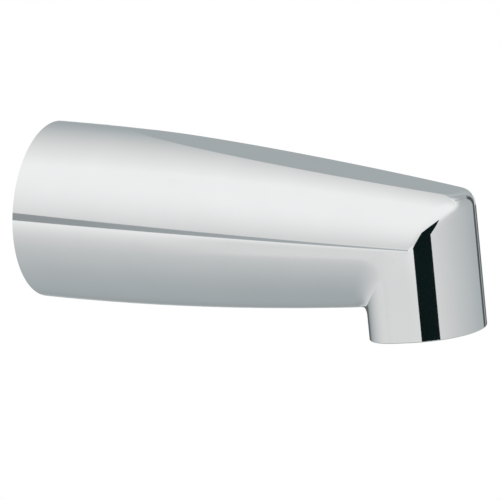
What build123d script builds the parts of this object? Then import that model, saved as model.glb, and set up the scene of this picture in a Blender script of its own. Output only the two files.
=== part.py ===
"""Bath spout: a chrome plated casting that slips over a bare copper pipe. Millimetres.

Frame: the origin is the centre of the round rim on the wall, +X points out of the wall and +Z up.
"""

import os
from math import acos, atan, cos, degrees, radians, sin, sqrt

from build123d import *

# Outer form of the casting
rim_radius = 33.0  # round end against the wall
crown_radius = 1070.0  # arc of the body's sides, level at the wall
flat_start = 33.5  # from the wall to the point where the top flat begins
flat_slope = 5.9  # degrees, the flat falls towards the nose
shoulder = 150.5  # from the wall to where the nozzle leaves the body's sides
nozzle_half_depth = 20.8  # of the oval that the nozzle's front follows
nozzle_back = 17.1  # from the nozzle's axis back to its flat rear
nozzle_corner = 12.0  # radius of the nozzle's two rear corners
nozzle_lean = 6.5  # degrees, forwards
nozzle_drop = 32.4  # from the body's axis down the nozzle to the outlet
nozzle_lap = 0.1  # the nozzle stands this far proud of the body's sides at the shoulder
flat_lap = 0.01  # the flat's roll-over starts this far outside the nose's front
mitre_fillet = 4.0  # soft edge between the body and the nose's front
flat_front_fillet = 6.5  # where the flat rolls over into the nose
nozzle_root_fillet = 4.0  # hollow under the body, behind the nozzle
rim_edge_fillet = 0.4
outlet_edge_fillet = 0.6

# Hollow of the casting
wall = 2.8
chamber_roof = 5.0  # metal between the flat and the water chamber
bulkhead = 4.0  # wall between the dry hollow and the water chamber
waterway_wall = 3.0  # metal around the water, from the boss to the bulkhead
boss_shoulder = 3.0  # metal past the end of the shank's socket
web_thickness = 3.0  # the two side webs that carry the boss
web_setback = 9.0  # from the boss's rear face to the webs

# Copper pipe and the adapter that slips over it
pipe_radius = 15.875 / 2
pipe_clearance = 0.11
adapter_setback = 6.0  # from the wall to the adapter's rear face
collar_half_flats = 15.0  # hexagon collar
collar_length = 12.0
collar_chamfer = 1.0
shank_radius = 12.0  # over the thread
shank_length = 26.0
shank_chamfer = 0.8
lead_in = 1.2  # chamfer that guides the pipe in
boss_wall = 4.0  # metal around the shank
shank_clearance = 0.05
shank_end_gap = 1.0
waterway_clearance = 0.6  # around the pipe, past the adapter

# Seals, drawn as thick as they are when squeezed
tube_seal_section = 2.1
tube_seal_groove = 2.8  # length of each groove
first_groove = 8.0  # from the collar's front face to the first groove's middle
groove_spacing = 8.0
face_seal_section = 2.0
seal_clearance = 0.04

# Set screw
screw_radius = 3.0
screw_length = 6.0
screw_station = 5.0  # from the adapter's rear face
screw_point_gap = 0.3  # from the bore to the screw's point, backed off
screw_clearance = 0.05
screw_chamfer = 0.6
socket_half_flats = 1.5
socket_depth = 3.0
key_hole_radius = 3.6

# Stations along X and radii that follow from the sizes above
bore_radius = pipe_radius + pipe_clearance
groove_radius = pipe_radius + tube_seal_section + 2 * seal_clearance
boss_rear = adapter_setback + collar_length
boss_radius = shank_radius + boss_wall
boss_length = shank_length + shank_end_gap + boss_shoulder
screw_x = adapter_setback + screw_station
waterway_radius = pipe_radius + waterway_clearance


def body_radius(x):
    """Radius of the body at a distance x from the wall."""
    return rim_radius - crown_radius + sqrt(crown_radius**2 - x**2)


def body_taper(x):
    """Slope of the body's side at a distance x from the wall."""
    return x / sqrt(crown_radius**2 - x**2)


# The nozzle's oval is tangent to the body's sides at the shoulder: its middle and its width follow
lean_sin = sin(radians(nozzle_lean))
lean_cos = cos(radians(nozzle_lean))
level_half_depth = nozzle_half_depth / lean_cos
taper_ratio = level_half_depth * body_taper(shoulder) / body_radius(shoulder)
shoulder_share = (sqrt(1 + 4 * taper_ratio**2) - 1) / (2 * taper_ratio)
shoulder_angle = degrees(acos(shoulder_share))
nozzle_x = shoulder - shoulder_share * level_half_depth
nozzle_half_width = body_radius(shoulder) / sqrt(1 - shoulder_share**2) + nozzle_lap
reach = nozzle_x + 2 * nozzle_half_depth  # past the nose

# Behind the shoulder the nozzle's sides run on along the body's taper, up to its rear corners
side_slant = atan(body_taper(shoulder) / lean_cos)
corner_start = nozzle_back - nozzle_corner * (1 + sin(side_slant))  # from the axis back
side_length = (shoulder_share * nozzle_half_depth + corner_start) / cos(side_slant)
bulkhead_rear = nozzle_x - nozzle_back / lean_cos - bulkhead

flat_plane = Plane(
    origin=(flat_start, 0, body_radius(flat_start)),
    z_dir=(sin(radians(flat_slope)), 0, cos(radians(flat_slope))),
)
nozzle_plane = Plane(
    origin=(nozzle_x, 0, 0),
    x_dir=(lean_cos, 0, lean_sin),
    z_dir=(-lean_sin, 0, lean_cos),
)


def body_profile(inset, end):
    """Half section of the body, a crowned taper, to turn about X."""
    with BuildSketch(Plane.XZ) as profile:
        with BuildLine():
            Line((0, 0), (0, rim_radius - inset))
            RadiusArc((0, rim_radius - inset), (end, body_radius(end) - inset), crown_radius)
            Polyline((end, body_radius(end) - inset), (end, 0), (0, 0))
        make_face()
    return profile.sketch


def nose_outline(grow):
    """Plan of the nose: the oval's front, carried back along its tangents past the wall."""
    with BuildSketch(nozzle_plane.offset(-reach)) as outline:
        with BuildLine():
            front = EllipticalCenterArc(
                (0, 0),
                nozzle_half_depth + grow,
                nozzle_half_width + grow,
                start_angle=-shoulder_angle,
                arc_size=2 * shoulder_angle,
            )
            near, far = front @ 0, front @ 1
            spread = reach * body_taper(shoulder) / lean_cos
            Polyline(far, far + (-reach, spread), near + (-reach, -spread), near)
        make_face()
    return outline.sketch


def nozzle_section():
    """Section of the nozzle at its outlet: the oval's front, sides flush with the body, a flat rear."""
    with BuildSketch(nozzle_plane.offset(-nozzle_drop)) as section:
        with BuildLine():
            front = EllipticalCenterArc(
                (0, 0),
                nozzle_half_depth,
                nozzle_half_width,
                start_angle=-shoulder_angle,
                arc_size=2 * shoulder_angle,
            )
            turn = 90 + degrees(side_slant)
            far_side = Line(front @ 1, front @ 1 + side_length * (front % 1))
            far_corner = JernArc(far_side @ 1, front % 1, nozzle_corner, turn)
            near_side = Line(front @ 0, front @ 0 - side_length * (front % 0))
            near_corner = JernArc(near_side @ 1, -(front % 0), nozzle_corner, -turn)
            Line(far_corner @ 1, near_corner @ 1)
        make_face()
    return section.sketch


def chamber_section():
    """Section of the water chamber at the outlet: an oval inside the nozzle's section."""
    with BuildSketch(nozzle_plane.offset(-nozzle_drop)) as section:
        with Locations(((nozzle_half_depth - nozzle_back) / 2, 0)):
            Ellipse((nozzle_half_depth + nozzle_back) / 2 - wall, nozzle_half_width - wall)
    return section.sketch


# Tool with the flat on top, which rolls over into the nose's front
with BuildPart() as flat_tool:
    extrude(nose_outline(flat_lap), amount=2 * reach)
    split(bisect_by=flat_plane, keep=Keep.BOTTOM)
    flat_edges = flat_tool.faces().sort_by(Axis.Z)[-1].edges()
    fillet(flat_edges.sort_by(Axis.X)[-1], radius=flat_front_fillet)

# Upper half of the outer form: the body mitred to the nose's front
with BuildPart() as upper_form:
    revolve(body_profile(0, reach), axis=Axis.X)
    extrude(nose_outline(0), amount=2 * reach, mode=Mode.INTERSECT)
    nose_front = upper_form.faces().filter_by(GeomType.EXTRUSION).sort_by(Axis.X)[-1]
    fillet(nose_front.edges(), radius=mitre_fillet)
    add(flat_tool.part, mode=Mode.INTERSECT)
    split(bisect_by=Plane.XY, keep=Keep.TOP)

# Lower half of the outer form: the nozzle grows out of the body's underside
with BuildPart() as lower_form:
    revolve(body_profile(0, shoulder), axis=Axis.X)
    extrude(nozzle_section(), amount=nozzle_drop + nozzle_half_depth / 2)
    root_edges = lower_form.edges().filter_by(GeomType.BSPLINE).sort_by(Axis.Z)[:3]
    fillet(root_edges, radius=nozzle_root_fillet)
    split(bisect_by=Plane.XY, keep=Keep.BOTTOM)

# Dry hollow behind the bulkhead, around the boss and its two webs
with BuildPart() as dry_hollow:
    revolve(body_profile(wall, bulkhead_rear), axis=Axis.X)
    split(bisect_by=flat_plane.offset(-wall), keep=Keep.BOTTOM)
    with BuildSketch(Plane.YZ.offset(boss_rear)):
        Circle(boss_radius)
    extrude(amount=boss_length, mode=Mode.SUBTRACT)
    with BuildSketch(Plane.YZ.offset(boss_rear)):
        Circle(waterway_radius + waterway_wall)
    extrude(amount=bulkhead_rear, mode=Mode.SUBTRACT)
    with BuildSketch(Plane.YZ.offset(boss_rear + web_setback)):
        Rectangle(2 * rim_radius, web_thickness)
    extrude(amount=bulkhead_rear, mode=Mode.SUBTRACT)

# Water chamber in the nose, open at the outlet
with BuildPart() as chamber:
    revolve(body_profile(wall, reach), axis=Axis.X)
    split(bisect_by=flat_plane.offset(-chamber_roof), keep=Keep.BOTTOM)
    extrude(chamber_section(), amount=nozzle_drop + rim_radius, mode=Mode.INTERSECT)
    extrude(chamber_section(), amount=nozzle_drop)

# The casting
with BuildPart() as spout_body:
    add(upper_form.part)
    add(lower_form.part)
    add(dry_hollow.part, mode=Mode.SUBTRACT)
    add(chamber.part, mode=Mode.SUBTRACT)
    # stepped bore: seat for the face seal, socket for the shank, waterway to the chamber
    with BuildSketch(Plane.YZ.offset(boss_rear)):
        Circle(shank_radius + face_seal_section + 2 * seal_clearance)
    extrude(amount=face_seal_section + 2 * seal_clearance, mode=Mode.SUBTRACT)
    with BuildSketch(Plane.YZ.offset(boss_rear)):
        Circle(shank_radius + shank_clearance)
    extrude(amount=shank_length + shank_end_gap, mode=Mode.SUBTRACT)
    with BuildSketch(Plane.YZ.offset(boss_rear)):
        Circle(waterway_radius)
    extrude(amount=nozzle_x - boss_rear, mode=Mode.SUBTRACT)
    # hole underneath for the set screw's key
    with BuildSketch(Plane.XY):
        with Locations((screw_x, 0)):
            Circle(key_hole_radius)
    extrude(amount=-2 * rim_radius, mode=Mode.SUBTRACT)
    rim_edge = spout_body.edges().filter_by(GeomType.CIRCLE).sort_by(SortBy.LENGTH)[-1]
    fillet(rim_edge, radius=rim_edge_fillet)
    outlet_edges = spout_body.faces().sort_by(Axis.Z)[0].edges()
    fillet(outlet_edges, radius=outlet_edge_fillet)
spout_body.part.label = "spout_body"

# Adapter: turned brass with a hexagon collar, two seal grooves in its bore and a tapped hole below
with BuildPart() as slip_fit_adapter:
    with BuildSketch(Plane.YZ.offset(adapter_setback)):
        RegularPolygon(collar_half_flats, 6, major_radius=False)
    extrude(amount=collar_length)
    chamfer(slip_fit_adapter.faces().sort_by(Axis.X)[0].edges(), length=collar_chamfer)
    with BuildSketch(Plane.YZ.offset(boss_rear)):
        Circle(shank_radius)
    extrude(amount=shank_length)
    chamfer(slip_fit_adapter.faces().sort_by(Axis.X)[-1].edges(), length=shank_chamfer)
    with BuildSketch(Plane.YZ.offset(adapter_setback)):
        Circle(bore_radius)
    extrude(amount=collar_length + shank_length, mode=Mode.SUBTRACT)
    mouth = slip_fit_adapter.faces().sort_by(Axis.X)[0].edges().filter_by(GeomType.CIRCLE)
    chamfer(mouth, length=lead_in)
    for groove in range(2):
        groove_x = boss_rear + first_groove + groove * groove_spacing
        with BuildSketch(Plane.YZ.offset(groove_x - tube_seal_groove / 2)):
            Circle(groove_radius)
        extrude(amount=tube_seal_groove, mode=Mode.SUBTRACT)
    with BuildSketch(Plane.XY):
        with Locations((screw_x, 0)):
            Circle(screw_radius + screw_clearance)
    extrude(amount=-2 * collar_half_flats, mode=Mode.SUBTRACT)
slip_fit_adapter.part.label = "slip_fit_adapter"


def ring(inner_radius, section, x):
    """O-ring around the X axis, centred on station x."""
    with BuildPart() as seal:
        with BuildSketch(Plane.XZ):
            with Locations((x, inner_radius + section / 2)):
                Circle(section / 2)
        revolve(axis=Axis.X)
    return seal


rear_tube_seal = ring(pipe_radius + seal_clearance, tube_seal_section, boss_rear + first_groove)
rear_tube_seal.part.label = "rear_tube_seal"
front_tube_seal = ring(
    pipe_radius + seal_clearance, tube_seal_section, boss_rear + first_groove + groove_spacing
)
front_tube_seal.part.label = "front_tube_seal"
adapter_seal = ring(
    shank_radius + seal_clearance,
    face_seal_section,
    boss_rear + seal_clearance + face_seal_section / 2,
)
adapter_seal.part.label = "adapter_seal"

# Set screw: hexagon socket below, flat point towards the pipe
with BuildPart() as set_screw:
    with BuildSketch(Plane.XY.offset(-bore_radius - screw_point_gap)):
        with Locations((screw_x, 0)):
            Circle(screw_radius)
    extrude(amount=-screw_length)
    chamfer(set_screw.edges().filter_by(GeomType.CIRCLE), length=screw_chamfer)
    with BuildSketch(Plane.XY.offset(-bore_radius - screw_point_gap - screw_length)):
        with Locations((screw_x, 0)):
            RegularPolygon(socket_half_flats, 6, major_radius=False)
    extrude(amount=socket_depth, mode=Mode.SUBTRACT)
set_screw.part.label = "set_screw"

os.makedirs("parts", exist_ok=True)
for piece in (
    spout_body,
    slip_fit_adapter,
    rear_tube_seal,
    front_tube_seal,
    adapter_seal,
    set_screw,
):
    export_step(piece.part, f"parts/{piece.part.label}.step")
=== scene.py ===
"""Finishes and stage for a chrome bath spout, laid out as an add-on and run as a script. Metres.

Frame: the origin is the centre of the round rim on the wall, +X points out of the wall and +Z up.
"""

from math import cos, degrees, radians, sin, tan

import bmesh
import bpy
import numpy as np
from bpy.props import FloatProperty, FloatVectorProperty, PointerProperty
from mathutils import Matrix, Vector


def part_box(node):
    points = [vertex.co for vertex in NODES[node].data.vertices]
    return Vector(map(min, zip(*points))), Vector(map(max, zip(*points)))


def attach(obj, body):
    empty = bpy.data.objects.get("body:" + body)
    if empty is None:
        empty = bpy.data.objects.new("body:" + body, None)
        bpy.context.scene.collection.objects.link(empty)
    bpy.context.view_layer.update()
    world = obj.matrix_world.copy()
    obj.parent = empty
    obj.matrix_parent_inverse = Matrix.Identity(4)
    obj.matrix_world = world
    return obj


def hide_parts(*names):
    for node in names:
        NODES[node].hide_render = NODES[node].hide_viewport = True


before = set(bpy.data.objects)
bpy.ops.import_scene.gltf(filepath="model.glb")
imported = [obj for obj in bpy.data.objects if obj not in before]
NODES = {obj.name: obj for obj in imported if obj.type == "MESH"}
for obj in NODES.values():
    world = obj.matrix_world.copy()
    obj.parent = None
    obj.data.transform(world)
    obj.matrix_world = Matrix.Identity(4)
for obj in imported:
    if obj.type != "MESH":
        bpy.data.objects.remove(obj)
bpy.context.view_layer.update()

bl_info = {
    "name": "Bath spout",
    "version": (1, 0, 0),
    "blender": (4, 5, 0),
    "location": "3D View > Sidebar > Spout",
    "description": "Dresses a packed bath spout and sets up its stage",
    "category": "Object",
}

# Mesh of the casting

MERGE_DISTANCE = 1e-7
SHARP_ANGLE = radians(30)
FACET_SAG = 5e-5  # a facet's middle lies this near to the curved face that it stands for
FILLET_SAG = 2e-4  # the same for fillets between faces that don't meet square
ALIGNED = 0.9  # least cosine between a facet and the face that it stands for
# What wins where several faces touch a facet: side, flat, nozzle, mitre, front of the flat, root
FACET_PRIORITY = np.array((1.0, 1.0, 1.0, 2.0, 2.0, 2.0))
SOFT_FACET = 0.001  # longest edge of the facets around the soft edges
SOFT_MOVE = 0.001  # what lies nearer than this to a soft edge is moved onto it
SOFT_CUTS = 5  # how often longer edges of facets are halved there
SOFT_STEPS = 3  # how many steps the mesh takes onto the soft edges
EDGE_SAMPLES = 9  # points on an edge of a facet that are tested for being near a soft edge
MITRE_GROWTH = 2.5  # how fast the mitre's soft edge widens as the nose turns down from the flat
FAR_AWAY = 1.0  # distance from a face that isn't there
TINY = 1e-6  # keeps a division from failing
TINY_LENGTH = 1e-9  # the same for lengths

# Finishes

NOISE_RANGE = (0.3, 0.7)  # where most values of a noise texture lie
BRIGHT_SHARE = 0.25  # part of the plating's reach that is fully bright
BRASS_RINGS = 0.0003  # spacing of the lathe tool's marks on the adapter
STEEL_RINGS = 0.0002  # and on the set screw

# Tones of the stage, where 1 is white, and azimuths in degrees from the camera, to the right

BEHIND = 180
COOL = (0.92, 1.0, 1.03, 1.0)
WHITE = (1.0, 1.0, 1.0, 1.0)
COOL_TONES = (0.5, 0.95)  # from all cool to all white
GREENISH = (0.4, 1.0, 1.0, 1.0)

# Floor: painted shade that only the mirror finish sees, grey straight below the spout and darker in a patch
# behind it
FLOOR_NEAR = 0.6  # tone straight below the spout
FLOOR_GAIN = 0.625  # how much lighter it is far away
FLOOR_REACH = 3.3  # how far that is, in drops of the floor
FLOOR_POWER = 1.2
SHADE_DEPTH = 0.4  # how much darker the floor is behind the spout
SHADE_AWAY = 1.8  # how far behind it, in drops of the floor
SHADE_REACH = 1.2  # how wide the dark patch is, in drops of the floor
SHADE_POWER = 2.0

TENT_SIDE = 1.185  # tone beside the spout
TENT_FALL = 0.55  # how much darker it is behind
TENT_FRONT = -0.1  # cosine from straight behind past which it gets no lighter in front
BACK_FALL = 0.17  # how much darker again it is straight behind
BACK_POWER = 4.0
HAZE_AZIMUTH = -35  # where a grey haze stands on the horizon
HAZE_DEPTH = 0.3
HAZE_TOP = 0.72  # sine of the elevation where it ends
HAZE_POWER = 1.5
GROUND_EDGE = -0.1  # sine of the elevation below which the tent is plain white

CARD_SEGMENTS = 32
BODY_MIDDLE = (0.08, -0.03, 0.0)  # place on the spout's near side that cards stand around
NOSE_MIDDLE = (0.155, -0.02, -0.015)  # the same on its nose
IN_FRONT = 3.9  # distance of cards that stand in front of others


# Settings


class SpoutForm(bpy.types.PropertyGroup):
    """Sizes of the casting's outside and of its wall"""

    rim_radius: FloatProperty(
        name="Rim radius", description="Round end against the wall",
        default=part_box("spout_body")[1].y, unit="LENGTH")
    crown_radius: FloatProperty(
        name="Crown radius", description="Arc of the body's sides", default=1.07, unit="LENGTH")
    wall: FloatProperty(
        name="Wall", description="Thickness of the casting", default=0.0028, unit="LENGTH")
    flat_start: FloatProperty(
        name="Flat start", description="From the wall to where the top flat begins",
        default=0.0335, unit="LENGTH")
    flat_slope: FloatProperty(
        name="Flat slope", description="Fall of the flat towards the nose",
        default=radians(5.9), subtype="ANGLE")
    bulkhead: FloatProperty(
        name="Bulkhead", description="From the wall to the middle of the bulkhead",
        default=0.1295, unit="LENGTH")
    shoulder: FloatProperty(
        name="Shoulder", description="From the wall to where the nozzle's front begins",
        default=0.1505, unit="LENGTH")
    nozzle_middle: FloatProperty(
        name="Nozzle middle", description="From the wall to the nozzle's axis",
        default=0.14776, unit="LENGTH")
    nozzle_lean: FloatProperty(
        name="Nozzle lean", description="Forward lean of the nozzle",
        default=radians(6.5), subtype="ANGLE")
    nozzle_half_depth: FloatProperty(
        name="Nozzle half depth", description="Half of the front's oval, front to back",
        default=0.0208, unit="LENGTH")
    nozzle_half_width: FloatProperty(
        name="Nozzle half width", description="Half of the front's oval, side to side",
        default=0.02266, unit="LENGTH")
    nozzle_back: FloatProperty(
        name="Nozzle back", description="From the nozzle's axis back to its flat rear",
        default=0.0171, unit="LENGTH")
    nozzle_corner: FloatProperty(
        name="Nozzle corner", description="Radius of the nozzle's two rear corners",
        default=0.012, unit="LENGTH")
    nozzle_drop: FloatProperty(
        name="Nozzle drop", description="From the body's axis down the nozzle to the outlet",
        default=0.0324, unit="LENGTH")
    mitre_blend: FloatProperty(
        name="Mitre blend", description="Soft edge between the body and the nose",
        default=0.009, unit="LENGTH")
    flat_front_fillet: FloatProperty(
        name="Flat front fillet", description="Roll of the flat into the nose",
        default=0.0065, unit="LENGTH")
    nozzle_blend: FloatProperty(
        name="Nozzle blend", description="Softness of the hollow where the nozzle leaves the body",
        default=0.0024, unit="LENGTH")
    nozzle_swell: FloatProperty(
        name="Nozzle swell", description="How much that hollow grows where the faces meet square",
        default=0.0036, unit="LENGTH")
    root_fade: FloatProperty(
        name="Root fade", description="From the shoulder back to where the hollow is full",
        default=0.0095, unit="LENGTH")
    root_rise: FloatProperty(
        name="Root rise", description="From the body's widest line down to where the hollow is full",
        default=0.004, unit="LENGTH")
    plating_reach: FloatProperty(
        name="Plating reach", description="How far bright plate reaches into the openings",
        default=0.008, unit="LENGTH")


class SpoutFinishes(bpy.types.PropertyGroup):
    """Colours of the finishes"""

    chrome: FloatVectorProperty(
        name="Chrome", description="Polished plate on the outside", subtype="COLOR",
        default=(0.68, 0.686, 0.689))
    casting: FloatVectorProperty(
        name="Casting", description="Dull plate on the raw casting inside", subtype="COLOR",
        default=(0.47, 0.475, 0.48))
    brass: FloatVectorProperty(
        name="Brass", description="Turned adapter", subtype="COLOR", default=(0.72, 0.53, 0.26))
    rubber: FloatVectorProperty(
        name="Rubber", description="Seals", subtype="COLOR", default=(0.022, 0.022, 0.024))
    steel: FloatVectorProperty(
        name="Steel", description="Set screw", subtype="COLOR", default=(0.5, 0.5, 0.51))


class SpoutStage(bpy.types.PropertyGroup):
    """Camera, floor and light"""

    camera_azimuth: FloatProperty(
        name="Camera azimuth", description="Turn of the camera about the vertical",
        default=radians(25.114), subtype="ANGLE")
    camera_elevation: FloatProperty(
        name="Camera elevation", description="Height of the camera above the horizon",
        default=radians(11.636), subtype="ANGLE")
    camera_distance: FloatProperty(
        name="Camera distance", description="From the camera to its target", default=1.2, unit="LENGTH")
    camera_target: FloatVectorProperty(
        name="Camera target", description="Point in the middle of the picture",
        default=(0.080737, 0.0, -0.0089303), subtype="XYZ")
    focal_length: FloatProperty(
        name="Focal length", description="Lens of the camera", default=236.19, unit="CAMERA")
    floor_drop: FloatProperty(
        name="Floor drop", description="From the spout's axis down to the floor",
        default=1.4, unit="LENGTH")
    floor_radius: FloatProperty(
        name="Floor radius", description="Size of the floor", default=16.0, unit="LENGTH")
    card_distance: FloatProperty(
        name="Card distance", description="From the spout to the cards it mirrors",
        default=4.0, unit="LENGTH")


class SpoutSettings(bpy.types.PropertyGroup):
    """All settings of the spout"""

    form: PointerProperty(type=SpoutForm)
    finishes: PointerProperty(type=SpoutFinishes)
    stage: PointerProperty(type=SpoutStage)


# Nodes


def put(tree, kind, inputs=(), **settings):
    """Adds a node, sets its properties and feeds its inputs with values or other nodes' sockets."""
    node = tree.nodes.new(kind)
    for key, value in settings.items():
        setattr(node, key, value)
    for key, value in dict(inputs).items():
        feed(tree, node.inputs[key], value)
    return node


def feed(tree, socket, value):
    """Links a socket to another node's socket, or sets its value."""
    if isinstance(value, bpy.types.NodeSocket):
        tree.links.new(value, socket)
    else:
        socket.default_value = value


def calc(tree, operation, *values):
    """A sum in the node tree."""
    return put(tree, "ShaderNodeMath", enumerate(values), operation=operation).outputs[0]


def measure(tree, operation, *vectors):
    """A number taken from vectors, such as their length or distance."""
    return put(tree, "ShaderNodeVectorMath", enumerate(vectors), operation=operation).outputs["Value"]


def scaled(tree, colour, share):
    """A colour times a number."""
    return put(tree, "ShaderNodeVectorMath", {0: colour, "Scale": share}, operation="SCALE").outputs[0]


def between(tree, share, first, second, data_type="FLOAT"):
    """A number between two others, or a colour for the data type RGBA."""
    inputs = {"Factor": share, "A": first, "B": second}
    return put(tree, "ShaderNodeMix", inputs, data_type=data_type).outputs["Result"]


def ease(tree, value, low, high, start=0.0, end=1.0):
    """A smooth step from start to end while the value goes from low to high."""
    inputs = {"Value": value, "From Min": low, "From Max": high, "To Min": start, "To Max": end}
    return put(tree, "ShaderNodeMapRange", inputs, interpolation_type="SMOOTHSTEP").outputs[0]


def new_group(name, inputs, output):
    """A shader node group with a vector, some numbers and one number as its output."""
    group = bpy.data.node_groups.new(name, "ShaderNodeTree")
    group.interface.new_socket("Vector", in_out="INPUT", socket_type="NodeSocketVector")
    for label in inputs:
        group.interface.new_socket(label, in_out="INPUT", socket_type="NodeSocketFloat")
    group.interface.new_socket(output, in_out="OUTPUT", socket_type="NodeSocketFloat")
    return group, put(group, "NodeGroupInput").outputs, put(group, "NodeGroupOutput").inputs


def mottle_group():
    """Soft cloudy variation between two values."""
    group = bpy.data.node_groups.get("Mottle")
    if group:
        return group
    group, given, result = new_group("Mottle", ("Scale", "Low", "High"), "Value")
    cloud = {"Vector": given["Vector"], "Scale": given["Scale"], "Detail": 3.0}
    noise = put(group, "ShaderNodeTexNoise", cloud).outputs[0]
    feed(group, result["Value"], ease(group, noise, *NOISE_RANGE, given["Low"], given["High"]))
    return group


def turning_group():
    """Fine rings of a lathe tool around the X axis, on cylinders and on end faces."""
    group = bpy.data.node_groups.get("Turning marks")
    if group:
        return group
    group, given, result = new_group("Turning marks", ("Pitch",), "Height")
    x, y, z = put(group, "ShaderNodeSeparateXYZ", {"Vector": given["Vector"]}).outputs
    across = put(group, "ShaderNodeCombineXYZ", {"Y": y, "Z": z}).outputs[0]
    rings = put(group, "ShaderNodeCombineXYZ", {"X": x, "Y": measure(group, "LENGTH", across)}).outputs[0]
    count = calc(group, "DIVIDE", 1.0, given["Pitch"])
    noise = put(group, "ShaderNodeTexNoise", {"Vector": rings, "Scale": count, "Detail": 2.0})
    feed(group, result["Height"], noise.outputs[0])
    return group


def mottle(tree, coordinates, scale, low, high):
    """A value that varies softly over the surface."""
    inputs = {"Vector": coordinates, "Scale": scale, "Low": low, "High": high}
    return put_group(tree, mottle_group(), inputs)


def put_group(tree, group, inputs):
    """Places a node group and returns its output."""
    return put(tree, "ShaderNodeGroup", inputs, node_tree=group).outputs[0]


def emboss(tree, shader, height, strength, depth):
    """Gives a shader the bump of a height."""
    bump = put(tree, "ShaderNodeBump", {"Strength": strength, "Distance": depth, "Height": height})
    feed(tree, shader.inputs["Normal"], bump.outputs[0])


def new_material(name):
    """A material with a node tree, its shader and its Object coordinates."""
    material = bpy.data.materials.new(name)
    material.use_nodes = True
    tree = material.node_tree
    shader = tree.nodes["Principled BSDF"]
    coordinates = put(tree, "ShaderNodeTexCoord").outputs["Object"]
    return material, tree, shader, coordinates


def dress(node_name, material):
    """Gives a node of the frame a material."""
    mesh = NODES[node_name].data
    mesh.materials.clear()
    mesh.materials.append(material)


# Casting


def flat_height(form):
    """Height of the body's top where the flat begins."""
    return form.rim_radius - form.flat_start**2 / (2 * form.crown_radius)


def plate_fade(tree, way_in, opening, form):
    """0 at an opening, where the plate is bright, and 1 from the plating's reach inwards."""
    return ease(tree, way_in, opening + BRIGHT_SHARE * form.plating_reach, opening + form.plating_reach)


def inside_share(tree, coordinates, form):
    """1 on the casting's hidden walls, 0 on the polished outside, soft near the two openings."""
    x, y, z = put(tree, "ShaderNodeSeparateXYZ", {"Vector": coordinates}).outputs
    half_wall = form.wall / 2
    across = put(tree, "ShaderNodeCombineXYZ", {"Y": y, "Z": z}).outputs[0]
    crown = calc(tree, "MULTIPLY", calc(tree, "MULTIPLY", x, x), -0.5 / form.crown_radius)
    side = calc(tree, "ADD", crown, form.rim_radius)
    depth = calc(tree, "SUBTRACT", side, measure(tree, "LENGTH", across))
    under_side = calc(tree, "GREATER_THAN", depth, half_wall)

    fall = calc(tree, "MULTIPLY", calc(tree, "SUBTRACT", x, form.flat_start), -tan(form.flat_slope))
    flat_depth = calc(tree, "SUBTRACT", calc(tree, "ADD", fall, flat_height(form)), z)
    under_flat = calc(tree, "GREATER_THAN", flat_depth, half_wall)

    dry = calc(tree, "MULTIPLY", under_side, calc(tree, "LESS_THAN", x, form.bulkhead))
    dry = calc(tree, "MULTIPLY", dry, plate_fade(tree, x, 0.0, form))

    lean_sin, lean_cos = sin(form.nozzle_lean), cos(form.nozzle_lean)
    forward = calc(tree, "SUBTRACT", x, form.nozzle_middle)
    along = calc(tree, "MULTIPLY_ADD", forward, lean_cos, calc(tree, "MULTIPLY", z, lean_sin))
    up = calc(tree, "MULTIPLY_ADD", forward, -lean_sin, calc(tree, "MULTIPLY", z, lean_cos))
    along = calc(tree, "SUBTRACT", along, (form.nozzle_half_depth - form.nozzle_back) / 2)
    half_depth = (form.nozzle_half_depth + form.nozzle_back) / 2
    oval = put(tree, "ShaderNodeCombineXYZ", {
        "X": calc(tree, "DIVIDE", along, half_depth - half_wall),
        "Y": calc(tree, "DIVIDE", y, form.nozzle_half_width - half_wall)})
    wet = calc(tree, "LESS_THAN", measure(tree, "LENGTH", oval.outputs[0]), 1.0)
    wet = calc(tree, "MULTIPLY", wet, calc(tree, "MAXIMUM", under_side, calc(tree, "LESS_THAN", z, 0.0)))
    wet = calc(tree, "MULTIPLY", wet, plate_fade(tree, up, -form.nozzle_drop, form))
    return calc(tree, "MULTIPLY", calc(tree, "MAXIMUM", dry, wet), under_flat)


def body_side(points, form):
    """Distance of points from the body's crowned side, and the side's normals there."""
    radius = np.maximum(np.hypot(points[:, 1], points[:, 2]), TINY)
    rise = radius - form.rim_radius + form.crown_radius
    length = np.hypot(points[:, 0], rise)
    spread = rise / radius
    normals = np.stack((points[:, 0], points[:, 1] * spread, points[:, 2] * spread), axis=1)
    return length - form.crown_radius, normals / length[:, None]


def top_flat(points, form):
    """Distance of points from the flat on top, and the flat's normals."""
    normal = np.array((sin(form.flat_slope), 0.0, cos(form.flat_slope)))
    distance = (points - (form.flat_start, 0.0, flat_height(form))) @ normal
    return distance, np.broadcast_to(normal, points.shape)


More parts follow.
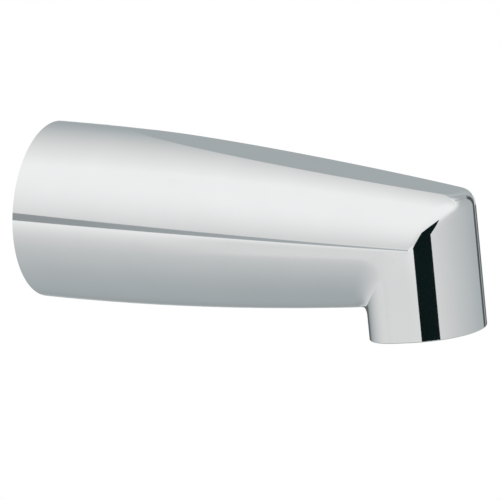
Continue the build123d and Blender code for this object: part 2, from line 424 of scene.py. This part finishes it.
def nozzle_wall(points, form):
    """Distance of points from the leaning wall of the nozzle, and its normals there.

    Its plan has an oval front, straight sides, two round corners and a flat rear."""
    lean_sin, lean_cos = sin(form.nozzle_lean), cos(form.nozzle_lean)
    along = (points[:, 0] - form.nozzle_middle) * lean_cos + points[:, 2] * lean_sin
    plan = np.stack((along, np.abs(points[:, 1])), axis=1)

    half = np.array((form.nozzle_half_depth, form.nozzle_half_width))
    reach = np.maximum(np.linalg.norm(plan / half, axis=1), TINY)
    slope = plan / half**2
    steep = np.maximum(np.linalg.norm(slope, axis=1), TINY)
    distance, slope = reach * (reach - 1) / steep, slope / steep[:, None]

    start = (form.shoulder - form.nozzle_middle) * lean_cos
    start = np.array((start, half[1] * (1 - (start / half[0]) ** 2) ** 0.5))
    outward = start / half**2
    outward = outward / np.linalg.norm(outward)
    side = (plan - start) @ outward
    corner = np.array((form.nozzle_corner - form.nozzle_back, 0.0))
    corner[1] = start[1] - (form.nozzle_corner + (corner[0] - start[0]) * outward[0]) / outward[1]
    arm = plan - corner
    length = np.maximum(np.linalg.norm(arm, axis=1), TINY_LENGTH)

    behind = plan[:, 0] < start[0]
    rear = behind & (arm[:, 1] < 0)
    straight = behind & (arm @ (outward[1], -outward[0]) > 0) & ~rear
    rounded = behind & ~rear & ~straight
    cases = (rear, straight, rounded)
    choices = (-plan[:, 0] - form.nozzle_back, side, length - form.nozzle_corner)
    distance = np.select(cases, choices, distance)
    choices = (np.array((-1.0, 0.0)), outward, arm / length[:, None])
    slope = np.select([case[:, None] for case in cases], choices, slope)
    across = slope[:, 1] * np.sign(points[:, 1])
    return distance, np.stack((slope[:, 0] * lean_cos, across, slope[:, 0] * lean_sin), axis=1)


def smooth(value):
    """A smooth step from 0 to 1."""
    value = np.clip(value, 0.0, 1.0)
    return value * value * (3 - 2 * value)


def soft_root(points, side, nozzle, form):
    """Distance of points from the hollow where the nozzle leaves the body, and its normals there.

    It fades out towards the shoulder and towards the body's widest line, where the faces are flush."""
    reach = smooth((form.shoulder - points[:, 0]) / form.root_fade) * smooth(-points[:, 2] / form.root_rise)
    turn = np.minimum(1 - (side[1] * nozzle[1]).sum(axis=1), 1.0)
    reach = np.maximum(reach * (form.nozzle_blend + form.nozzle_swell * turn), TINY_LENGTH)
    share = np.clip(0.5 + (side[0] - nozzle[0]) / (2 * reach), 0.0, 1.0)
    distance = (1 - share) * side[0] + share * nozzle[0] - reach * share * (1 - share)
    normals = (1 - share)[:, None] * side[1] + share[:, None] * nozzle[1]
    normals = normals / np.maximum(np.linalg.norm(normals, axis=1), TINY_LENGTH)[:, None]
    return np.where((share > 0) & (share < 1), distance, FAR_AWAY), normals


def rolled_edge(first, second, radius):
    """Distance from the fillet of a ball that rolls inside two faces, and its normals there."""
    near_first, near_second = radius + first[0], radius + second[0]
    lean = (first[1] * second[1]).sum(axis=1)
    spread = np.maximum(1 - lean**2, TINY)
    share_first = (near_first - lean * near_second) / spread
    share_second = (near_second - lean * near_first) / spread
    arm = share_first[:, None] * first[1] + share_second[:, None] * second[1]
    length = np.maximum(np.linalg.norm(arm, axis=1), TINY_LENGTH)
    rolls = (share_first > 0) & (share_second > 0)
    return np.where(rolls, length - radius, FAR_AWAY), arm / length[:, None]


def nose_face(flat, nozzle, form):
    """Distance from the flat and the nozzle's front, with the roll between them, and its normals.

    The third result is how far the face has turned, from 0 on the flat to 1 on the front."""
    roll = rolled_edge(flat, nozzle, form.flat_front_fillet)
    front, rolls = nozzle[0] > flat[0], roll[0] < FAR_AWAY
    distance = np.where(rolls, roll[0], np.where(front, nozzle[0], flat[0]))
    normals = np.where(rolls[:, None], roll[1], np.where(front[:, None], nozzle[1], flat[1]))
    turn = (1 - (normals * flat[1]).sum(axis=1)) / (1 - (nozzle[1] * flat[1]).sum(axis=1))
    return distance, normals, turn


def soft_mitre(points, side, nozzle, flat, form):
    """Distance of points from the soft edge between body and nose, and its normals there.

    It narrows to nothing where the nose rolls over into the flat."""
    *face, turn = nose_face(flat, nozzle, form)
    radius = form.mitre_blend * smooth(MITRE_GROWTH * turn) + TINY_LENGTH
    distance, normals = rolled_edge(side, face, radius)
    ahead = (points[:, 0] > form.shoulder - form.mitre_blend / 2) & (points[:, 2] > 0)
    return np.where(ahead, distance, FAR_AWAY), normals


def soft_edges(points, form):
    """The soft edge of the nose above the body's axis, and the hollow behind the nozzle below it."""
    side, flat, nozzle = body_side(points, form), top_flat(points, form), nozzle_wall(points, form)
    root, mitre = soft_root(points, side, nozzle, form), soft_mitre(points, side, nozzle, flat, form)
    upper = points[:, 2] > 0
    return np.where(upper, mitre[0], root[0]), np.where(upper[:, None], mitre[1], root[1])


def soften(shape, form):
    """Refines the mesh around the soft edges and moves it onto them."""
    for _ in range(SOFT_CUTS):
        shape.edges.ensure_lookup_table()
        ends = np.array([[vert.co for vert in edge.verts] for edge in shape.edges])
        ways = ends[:, 1] - ends[:, 0]
        spots = [ends[:, 0] + share * ways for share in np.linspace(0, 1, EDGE_SAMPLES)]
        near = np.min([np.abs(soft_edges(spot, form)[0]) for spot in spots], axis=0) < SOFT_MOVE
        long = np.linalg.norm(ways, axis=1) > SOFT_FACET
        coarse = [shape.edges[index] for index in np.flatnonzero(near & long)]
        bmesh.ops.subdivide_edges(shape, edges=coarse, cuts=1)
        bmesh.ops.triangulate(shape, faces=shape.faces)
    places = np.array([vert.co for vert in shape.verts])
    for _ in range(SOFT_STEPS):
        distance, normals = soft_edges(places, form)
        move = np.where(np.abs(distance) < SOFT_MOVE, distance, 0.0)
        places = places - move[:, None] * normals
    for vert, place in zip(shape.verts, places):
        vert.co = place


def outer_faces(points, form):
    """Distances and normals of the faces and fillets that the polished outside is made of."""
    side, flat, nozzle = body_side(points, form), top_flat(points, form), nozzle_wall(points, form)
    mitre = soft_mitre(points, side, nozzle, flat, form)
    flat_front = rolled_edge(flat, nozzle, form.flat_front_fillet)
    root = soft_root(points, side, nozzle, form)
    upper, behind = points[:, 2] > 0, points[:, 0] < form.shoulder
    distances = np.abs((
        np.where(upper | behind, side[0], FAR_AWAY), flat[0], np.where(upper & behind, FAR_AWAY, nozzle[0]),
        mitre[0], np.where(upper, flat_front[0], FAR_AWAY), np.where(upper, FAR_AWAY, root[0])))
    normals = np.stack((side[1], flat[1], nozzle[1], mitre[1], flat_front[1], root[1]))
    return distances, normals


def read_rows(items, name):
    """A vector of each item of a mesh, as rows."""
    values = np.empty(len(items) * 3)
    items.foreach_get(name, values)
    return values.reshape(-1, 3)


def polish(mesh, form):
    """Gives the outside the normals of its true curved faces, so that its mirror finish is even."""
    mesh.set_sharp_from_angle(angle=SHARP_ANGLE)
    corners = np.empty(len(mesh.loops), dtype=np.int32)
    mesh.loops.foreach_get("vertex_index", corners)
    distances, face_normals = outer_faces(read_rows(mesh.polygons, "center"), form)
    aligned = (face_normals * read_rows(mesh.polygons, "normal")).sum(axis=2) > ALIGNED
    distances = np.where(aligned, distances, FAR_AWAY)
    distances = distances - np.where(distances < FACET_SAG, FACET_PRIORITY[:, None], 0.0)
    kind = np.repeat(distances.argmin(axis=0), 3)
    outside = np.repeat(distances.min(axis=0) < FILLET_SAG, 3)
    true_normals = outer_faces(read_rows(mesh.vertices, "co")[corners], form)[1]
    true_normals = true_normals[kind, np.arange(len(corners))]
    plain_normals = read_rows(mesh.corner_normals, "vector")
    mesh.normals_split_custom_set(np.where(outside[:, None], true_normals, plain_normals))


def chrome_casting(form, finishes):
    """Polished chrome outside, which turns dull over the raw casting inside."""
    material, tree, shader, coordinates = new_material("chrome_casting")
    inside = inside_share(tree, coordinates, form)
    bright = scaled(tree, finishes.chrome, mottle(tree, coordinates, scale=60.0, low=0.985, high=1.0))
    dull = scaled(tree, finishes.casting, mottle(tree, coordinates, scale=220.0, low=0.82, high=1.05))
    feed(tree, shader.inputs["Base Color"], between(tree, inside, bright, dull, data_type="RGBA"))
    shader.inputs["Metallic"].default_value = 1.0
    haze = mottle(tree, coordinates, scale=35.0, low=0.03, high=0.05)
    grit = mottle(tree, coordinates, scale=500.0, low=0.36, high=0.5)
    feed(tree, shader.inputs["Roughness"], between(tree, inside, haze, grit))
    grain = put(tree, "ShaderNodeTexNoise", {"Vector": coordinates, "Scale": 900.0, "Detail": 4.0})
    height = calc(tree, "MULTIPLY", grain.outputs[0], inside)
    emboss(tree, shader, height, strength=0.35, depth=0.0003)
    return material


class SPOUT_OT_dress_casting(bpy.types.Operator):
    """Shows the casting as a polished copy with chrome plate"""

    bl_idname = "spout.dress_casting"
    bl_label = "Casting"

    def execute(self, context):
        settings = context.scene.spout
        mesh = bpy.data.meshes.new("polished_casting")
        shape = bmesh.new()
        shape.from_mesh(NODES["spout_body"].data)
        bmesh.ops.remove_doubles(shape, verts=shape.verts, dist=MERGE_DISTANCE)
        soften(shape, settings.form)
        for face in shape.faces:
            face.smooth = True
        shape.to_mesh(mesh)
        shape.free()
        mesh.materials.append(chrome_casting(settings.form, settings.finishes))
        polish(mesh, settings.form)
        piece = bpy.data.objects.new("polished_casting", mesh)
        context.scene.collection.objects.link(piece)
        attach(piece, "root")
        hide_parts("spout_body")
        return {"FINISHED"}


# Pieces inside


def turned_metal(name, colour, pitch, centre=(0, 0, 0), turn=(0, 0, 0)):
    """Bright turned metal with fine rings around an axis that is turned onto X."""
    material, tree, shader, coordinates = new_material(name)
    mapping = {"Vector": coordinates, "Location": centre, "Rotation": turn}
    place = put(tree, "ShaderNodeMapping", mapping, vector_type="TEXTURE").outputs[0]
    rings = put_group(tree, turning_group(), {"Vector": place, "Pitch": pitch})
    cloud = mottle(tree, coordinates, scale=150.0, low=0.9, high=1.03)
    feed(tree, shader.inputs["Base Color"], scaled(tree, colour, cloud))
    shader.inputs["Metallic"].default_value = 1.0
    feed(tree, shader.inputs["Roughness"], ease(tree, rings, *NOISE_RANGE, start=0.2, end=0.36))
    emboss(tree, shader, rings, strength=0.25, depth=0.0001)
    return material


def seal_rubber(finishes):
    """Matt black rubber with a fine grain."""
    material, tree, shader, coordinates = new_material("seal_rubber")
    cloud = mottle(tree, coordinates, scale=400.0, low=0.75, high=1.25)
    feed(tree, shader.inputs["Base Color"], scaled(tree, finishes.rubber, cloud))
    rough = mottle(tree, coordinates, scale=700.0, low=0.5, high=0.68)
    feed(tree, shader.inputs["Roughness"], rough)
    grain = put(tree, "ShaderNodeTexNoise", {"Vector": coordinates, "Scale": 3000.0})
    emboss(tree, shader, grain.outputs[0], strength=0.15, depth=0.0001)
    return material


class SPOUT_OT_dress_adapter(bpy.types.Operator):
    """Gives the adapter its turned brass"""

    bl_idname = "spout.dress_adapter"
    bl_label = "Adapter"

    def execute(self, context):
        brass = context.scene.spout.finishes.brass
        dress("slip_fit_adapter", turned_metal("brass", brass, BRASS_RINGS))
        return {"FINISHED"}


class SPOUT_OT_dress_seals(bpy.types.Operator):
    """Gives the seals their rubber"""

    bl_idname = "spout.dress_seals"
    bl_label = "Seals"

    def execute(self, context):
        rubber = seal_rubber(context.scene.spout.finishes)
        for name in ("rear_tube_seal", "front_tube_seal", "adapter_seal"):
            dress(name, rubber)
        return {"FINISHED"}


class SPOUT_OT_dress_set_screw(bpy.types.Operator):
    """Gives the set screw its steel"""

    bl_idname = "spout.dress_set_screw"
    bl_label = "Set screw"

    def execute(self, context):
        steel = context.scene.spout.finishes.steel
        low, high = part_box("set_screw")
        upright = (0, radians(90), 0)
        dress("set_screw", turned_metal("screw_steel", steel, STEEL_RINGS, (low + high) / 2, upright))
        return {"FINISHED"}


# Stage


def stage_piece(name, mesh_builder, material):
    """Adds a piece of the stage whose place is in its mesh."""
    mesh = bpy.data.meshes.new(name)
    shape = bmesh.new()
    mesh_builder(shape)
    shape.to_mesh(mesh)
    shape.free()
    mesh.materials.append(material)
    piece = bpy.data.objects.new(name, mesh)
    bpy.context.scene.collection.objects.link(piece)
    return piece


def heading(stage, azimuth, elevation=0.0):
    """A direction, with its azimuth measured from the camera, to the right, in degrees."""
    turn = stage.camera_azimuth + radians(azimuth)
    rise = radians(elevation)
    return Vector((sin(turn) * cos(rise), -cos(turn) * cos(rise), sin(rise)))


def glow(name):
    """A material that only shines."""
    material = bpy.data.materials.new(name)
    material.use_nodes = True
    tree = material.node_tree
    tree.nodes.remove(tree.nodes["Principled BSDF"])
    light = put(tree, "ShaderNodeEmission")
    feed(tree, tree.nodes["Material Output"].inputs["Surface"], light.outputs[0])
    return material, tree, light


def shine(tree, light, tone, tint=None):
    """Gives a light its tone, in white for high tones and a little blue for low ones, or in a tint."""
    if not tint:
        tint = between(tree, ease(tree, tone, *COOL_TONES), COOL, WHITE, data_type="RGBA")
    feed(tree, light.inputs["Color"], tint)
    feed(tree, light.inputs["Strength"], tone)


def decay(tree, distance, reach, power):
    """A number that falls from 1 to 0 with distance."""
    share = calc(tree, "POWER", calc(tree, "DIVIDE", distance, reach), power)
    return calc(tree, "EXPONENT", calc(tree, "MULTIPLY", share, -1.0))


def floor_paper_with_painted_shade(stage):
    """Pale paper that glows by itself, white to the camera. The spout mirrors it with painted shade: grey
    below, darker behind, white far away.
    """
    material, tree, light = glow("floor_paper_with_painted_shade")
    drop = stage.floor_drop
    place = put(tree, "ShaderNodeTexCoord").outputs["Object"]
    flat = put(tree, "ShaderNodeVectorMath", {0: place, 1: (1, 1, 0)}, operation="MULTIPLY").outputs[0]
    # Painted shade on the glowing floor: grey near the spout, lighter far away, darker in a patch behind it
    near = decay(tree, measure(tree, "LENGTH", flat), FLOOR_REACH * drop, FLOOR_POWER)
    apart = measure(tree, "DISTANCE", flat, SHADE_AWAY * drop * heading(stage, BEHIND))
    shade = decay(tree, apart, SHADE_REACH * drop, SHADE_POWER)
    tone = calc(tree, "MULTIPLY_ADD", near, -FLOOR_GAIN, FLOOR_NEAR + FLOOR_GAIN)
    tone = calc(tree, "MULTIPLY_ADD", shade, -SHADE_DEPTH, tone)
    seen = put(tree, "ShaderNodeLightPath").outputs["Is Camera Ray"]
    shine(tree, light, between(tree, seen, tone, 1.0))
    return material


def card(stage, name, middle, azimuths, foot, heads, tones, distance=0.0, slowing=1.0, rise=(0.0, 1.0),
         fade=0.0, tint=None):
    """A curved card around the spout that only its mirror finish sees, with its angles in degrees.

    Its tone goes across from the first to the second, and from there up to a third between two heights.
    It can fade out at its left, its foot and its head, and have a tint of its own."""
    distance = distance or stage.card_distance
    material, tree, light = glow(name)
    place = put(tree, "ShaderNodeTexCoord").outputs["UV"]
    across, up, _ = put(tree, "ShaderNodeSeparateXYZ", {"Vector": place}).outputs
    left = calc(tree, "POWER", calc(tree, "SUBTRACT", 1.0, across), slowing)
    tone = calc(tree, "MULTIPLY_ADD", left, tones[0] - tones[1], tones[1])
    tone = ease(tree, up, *rise, tone, tones[2]) if len(tones) > 2 else tone
    shine(tree, light, tone, tint)
    if fade:
        solid = calc(tree, "MULTIPLY", ease(tree, up, 0.0, fade), ease(tree, up, 1.0, 1.0 - fade))
        solid = calc(tree, "MULTIPLY", solid, ease(tree, across, 0.0, fade))
        clear = put(tree, "ShaderNodeBsdfTransparent").outputs[0]
        soft = put(tree, "ShaderNodeMixShader", {0: solid, 1: clear, 2: light.outputs[0]}).outputs[0]
        feed(tree, tree.nodes["Material Output"].inputs["Surface"], soft)

    def bend(shape):
        shape.loops.layers.uv.verify()
        bmesh.ops.create_grid(shape, x_segments=CARD_SEGMENTS, y_segments=1, size=1.0, calc_uvs=True)
        for vert in shape.verts:
            share = (vert.co.x + 1) / 2
            ahead = heading(stage, azimuths[0] + share * (azimuths[1] - azimuths[0]))
            elevation = heads[0] + share * (heads[1] - heads[0]) if vert.co.y > 0 else foot
            vert.co = Vector(middle) + distance * (ahead + Vector((0, 0, tan(radians(elevation)))))

    piece = stage_piece(name, bend, material)
    piece.visible_camera = False
    piece.visible_diffuse = False
    piece.visible_shadow = False


def mirrored_cards(stage):
    """The cards that draw the chrome's dark lines and grey sides."""
    card(stage, "horizon_card", BODY_MIDDLE, azimuths=(-60, -27), foot=-7, heads=(2.7, -5.6),
         tones=(0.385, 0.62))
    card(stage, "camera_card", NOSE_MIDDLE, azimuths=(-9.5, 28.3), foot=-14, heads=(14, 22),
         tones=(0.0125, 0.0125), distance=IN_FRONT, tint=GREENISH)
    card(stage, "side_card", NOSE_MIDDLE, azimuths=(28.3, 154), foot=-16, heads=(26, 56),
         tones=(0.93, 0.53, 1.15), rise=(0.55, 0.92))
    card(stage, "far_side_card", NOSE_MIDDLE, azimuths=(139, 150), foot=-16, heads=(21, 21),
         tones=(0.12, 0.12), distance=IN_FRONT)
    card(stage, "back_card", NOSE_MIDDLE, azimuths=(154, 215), foot=-32, heads=(-6, -6), tones=(0.17, 0.17))
    card(stage, "left_card", NOSE_MIDDLE, azimuths=(215, 300), foot=-24, heads=(-5, -5),
         tones=(0.38, 0.97), slowing=1.7)
    card(stage, "near_card", NOSE_MIDDLE, azimuths=(-70, -9.5), foot=-26, heads=(-1, -1),
         tones=(0.92, 1.0), distance=0.25, fade=0.3)


def tent_light(stage):
    """World light of a pale tent: bright above and in front, grey low behind."""
    world = bpy.data.worlds.new("tent")
    bpy.context.scene.world = world
    world.use_nodes = True
    tree = world.node_tree
    direction = put(tree, "ShaderNodeTexCoord").outputs["Generated"]
    rise = put(tree, "ShaderNodeSeparateXYZ", {"Vector": direction}).outputs["Z"]
    back = measure(tree, "DOT_PRODUCT", direction, heading(stage, BEHIND))
    back = calc(tree, "MAXIMUM", back, TENT_FRONT)
    tone = calc(tree, "MULTIPLY_ADD", back, -TENT_FALL, TENT_SIDE)
    tone = calc(tree, "MULTIPLY_ADD", calc(tree, "POWER", back, BACK_POWER), -BACK_FALL, tone)
    beside = measure(tree, "DOT_PRODUCT", direction, heading(stage, HAZE_AZIMUTH))
    beside = calc(tree, "MAXIMUM", beside, 0.0)
    low = calc(tree, "MAXIMUM", calc(tree, "MULTIPLY_ADD", rise, -1 / HAZE_TOP, 1.0), 0.0)
    haze = calc(tree, "MULTIPLY", calc(tree, "POWER", low, HAZE_POWER), beside)
    tone = calc(tree, "MULTIPLY_ADD", haze, -HAZE_DEPTH, tone)
    ground = ease(tree, rise, GROUND_EDGE, 0.0, start=1.0, end=0.0)
    shine(tree, tree.nodes["Background"], between(tree, ground, tone, 1.0))


def photo_camera(stage):
    """Camera at the photograph's viewing angle."""
    data = bpy.data.cameras.new("camera")
    data.sensor_width = 36.0
    data.lens = stage.focal_length
    camera = bpy.data.objects.new("camera", data)
    bpy.context.scene.collection.objects.link(camera)
    back = heading(stage, 0, degrees(stage.camera_elevation))
    camera.location = Vector(stage.camera_target) + back * stage.camera_distance
    camera.rotation_mode = "QUATERNION"
    camera.rotation_quaternion = (-back).to_track_quat("-Z", "Y")
    bpy.context.scene.camera = camera


class SPOUT_OT_build_stage(bpy.types.Operator):
    """Adds the floor, the cards, the light and the camera"""

    bl_idname = "spout.build_stage"
    bl_label = "Stage"

    def execute(self, context):
        stage = context.scene.spout.stage

        def disc(shape):
            bmesh.ops.create_circle(shape, cap_ends=True, segments=64, radius=stage.floor_radius)
            bmesh.ops.translate(shape, verts=shape.verts, vec=(0, 0, -stage.floor_drop))

        stage_piece("floor", disc, floor_paper_with_painted_shade(stage))
        mirrored_cards(stage)
        tent_light(stage)
        photo_camera(stage)
        context.scene.view_settings.view_transform = "Standard"
        return {"FINISHED"}


class SPOUT_PT_sidebar(bpy.types.Panel):
    """Lists the steps that dress the spout, and their settings"""

    bl_label = "Bath spout"
    bl_space_type = "VIEW_3D"
    bl_region_type = "UI"
    bl_category = "Spout"

    def draw(self, context):
        for operator in OPERATORS:
            self.layout.operator(operator.bl_idname)
        for group in ("form", "finishes", "stage"):
            settings = getattr(context.scene.spout, group)
            for name in settings.bl_rna.properties.keys():
                if name not in ("rna_type", "name"):
                    self.layout.prop(settings, name)


OPERATORS = (
    SPOUT_OT_dress_casting,
    SPOUT_OT_dress_adapter,
    SPOUT_OT_dress_seals,
    SPOUT_OT_dress_set_screw,
    SPOUT_OT_build_stage,
)
CLASSES = (SpoutForm, SpoutFinishes, SpoutStage, SpoutSettings, *OPERATORS, SPOUT_PT_sidebar)


def register():
    for cls in CLASSES:
        bpy.utils.register_class(cls)
    bpy.types.Scene.spout = PointerProperty(type=SpoutSettings)


def unregister():
    del bpy.types.Scene.spout
    for cls in reversed(CLASSES):
        bpy.utils.unregister_class(cls)


def main():
    register()
    bpy.ops.spout.dress_casting()
    bpy.ops.spout.dress_adapter()
    bpy.ops.spout.dress_seals()
    bpy.ops.spout.dress_set_screw()
    bpy.ops.spout.build_stage()


if __name__ == "__main__":
    main()
